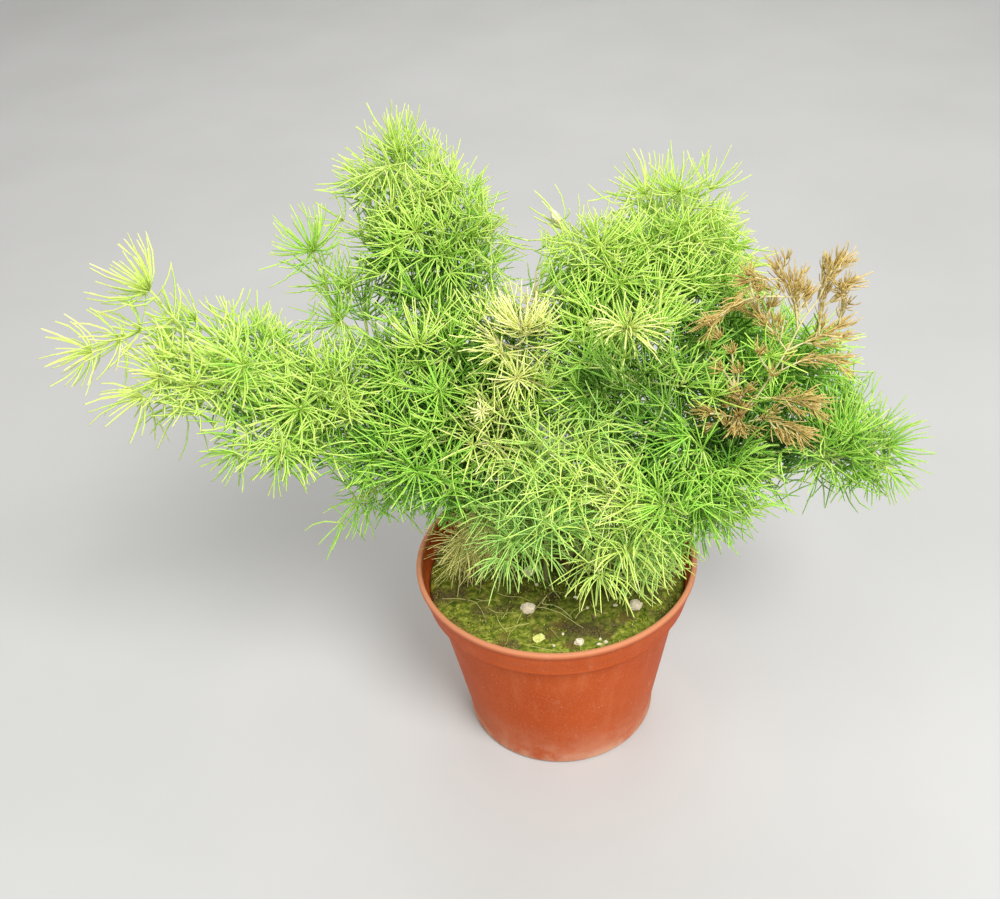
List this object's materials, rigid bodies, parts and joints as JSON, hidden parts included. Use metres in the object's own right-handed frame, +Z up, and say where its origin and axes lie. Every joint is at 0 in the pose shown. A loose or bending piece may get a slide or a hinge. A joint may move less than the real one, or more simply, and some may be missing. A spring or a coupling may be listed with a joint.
{
  "type": "potted ming fern",
  "caption": "Needle-leaved fern with arching leafy stems in a round, tapered plastic nursery pot with a rim band.",
  "frame": {"origin": "centre of the pot's flat base, on the surface it stands on", "axes": "+Z up out of the soil; +X to the right as seen from the front, along the plant's longest reach; -Y to the front"},
  "size_m": [0.2887, 0.1349, 0.2386],
  "materials": {
    "pot_plastic": "satin",
    "potting_soil": "matte",
    "perlite": "matte",
    "leaf_litter": "matte",
    "lime_foliage": "satin",
    "green_foliage": "satin",
    "deep_green_foliage": "satin",
    "pale_foliage": "satin",
    "dried_foliage": "matte",
    "old_foliage": "matte"
  },
  "bodies": {
    "root": {"pot": "pot_plastic", "soil": "potting_soil", "perlite_front": "perlite", "perlite_right": "perlite", "perlite_back": "perlite", "perlite_rim": "perlite", "leaf_scrap": "leaf_litter", "far_left_stem": "lime_foliage", "low_left_stem": "green_foliage", "mid_left_stem": "green_foliage", "upper_left_stem": "green_foliage", "left_stem": "green_foliage", "centre_stem": "pale_foliage", "top_right_stem": "lime_foliage", "back_stem": "green_foliage", "inner_right_stem": "lime_foliage", "right_mid_stem": "green_foliage", "low_right_stem": "green_foliage", "right_stem": "green_foliage", "dried_stem": "dried_foliage", "front_right_stem": "lime_foliage", "front_left_stem": "deep_green_foliage", "old_stem": "old_foliage"}
  },
  "joints": []
}
